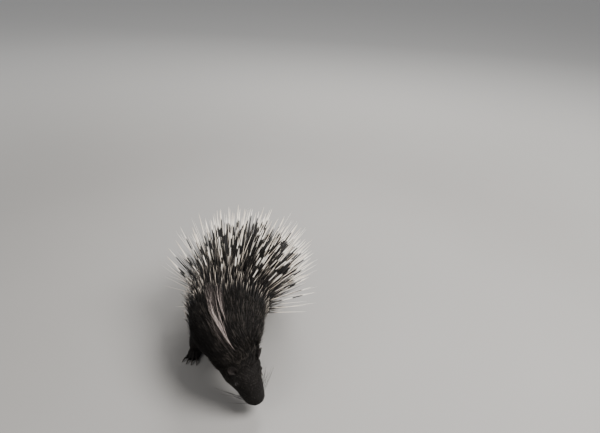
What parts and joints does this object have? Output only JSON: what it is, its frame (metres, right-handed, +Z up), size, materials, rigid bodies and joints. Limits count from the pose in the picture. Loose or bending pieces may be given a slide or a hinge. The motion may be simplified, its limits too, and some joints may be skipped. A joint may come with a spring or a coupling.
{
  "type": "porcupine",
  "caption": "Life-size still model of a short-tailed Asian porcupine standing head low with a fan of raised banded quills, a pale nape mane, bristly shoulders and clawed feet.",
  "frame": {"origin": "on the floor, under the middle of the bounding box", "axes": "+Z up, the nose towards -Y, the animal's right side towards -X"},
  "size_m": [0.4762, 0.6964, 0.3806],
  "materials": {
    "bristly_hide": "black-brown bristles, matt, with a whitish streak on the nape",
    "quilled_hide": "horny quills, ivory with a black-brown band, satin",
    "ear_skin": "dark bare skin with short hair",
    "foot_skin": "dark haired skin, bare sole",
    "eye": "wet black-brown",
    "claw": "dark horn, worn satin"
  },
  "bodies": {
    "root": {"front_right_leg": "bristly_hide", "front_right_foot": "foot_skin", "front_right_claw_1": "claw", "front_right_claw_2": "claw", "front_right_claw_3": "claw", "front_right_claw_4": "claw", "front_left_leg": "bristly_hide", "front_left_foot": "foot_skin", "front_left_claw_1": "claw", "front_left_claw_2": "claw", "front_left_claw_3": "claw", "front_left_claw_4": "claw", "hind_right_leg": "bristly_hide", "hind_right_foot": "foot_skin", "hind_right_claw_1": "claw", "hind_right_claw_2": "claw", "hind_right_claw_3": "claw", "hind_right_claw_4": "claw", "hind_right_claw_5": "claw", "hind_left_leg": "bristly_hide", "hind_left_foot": "foot_skin", "hind_left_claw_1": "claw", "hind_left_claw_2": "claw", "hind_left_claw_3": "claw", "hind_left_claw_4": "claw", "hind_left_claw_5": "claw", "tail": "quilled_hide", "torso_rear": "quilled_hide", "torso_front": "bristly_hide", "neck": "bristly_hide", "head": "bristly_hide", "ear_right": "ear_skin", "eye_right": "eye", "ear_left": "ear_skin", "eye_left": "eye"}
  },
  "joints": []
}
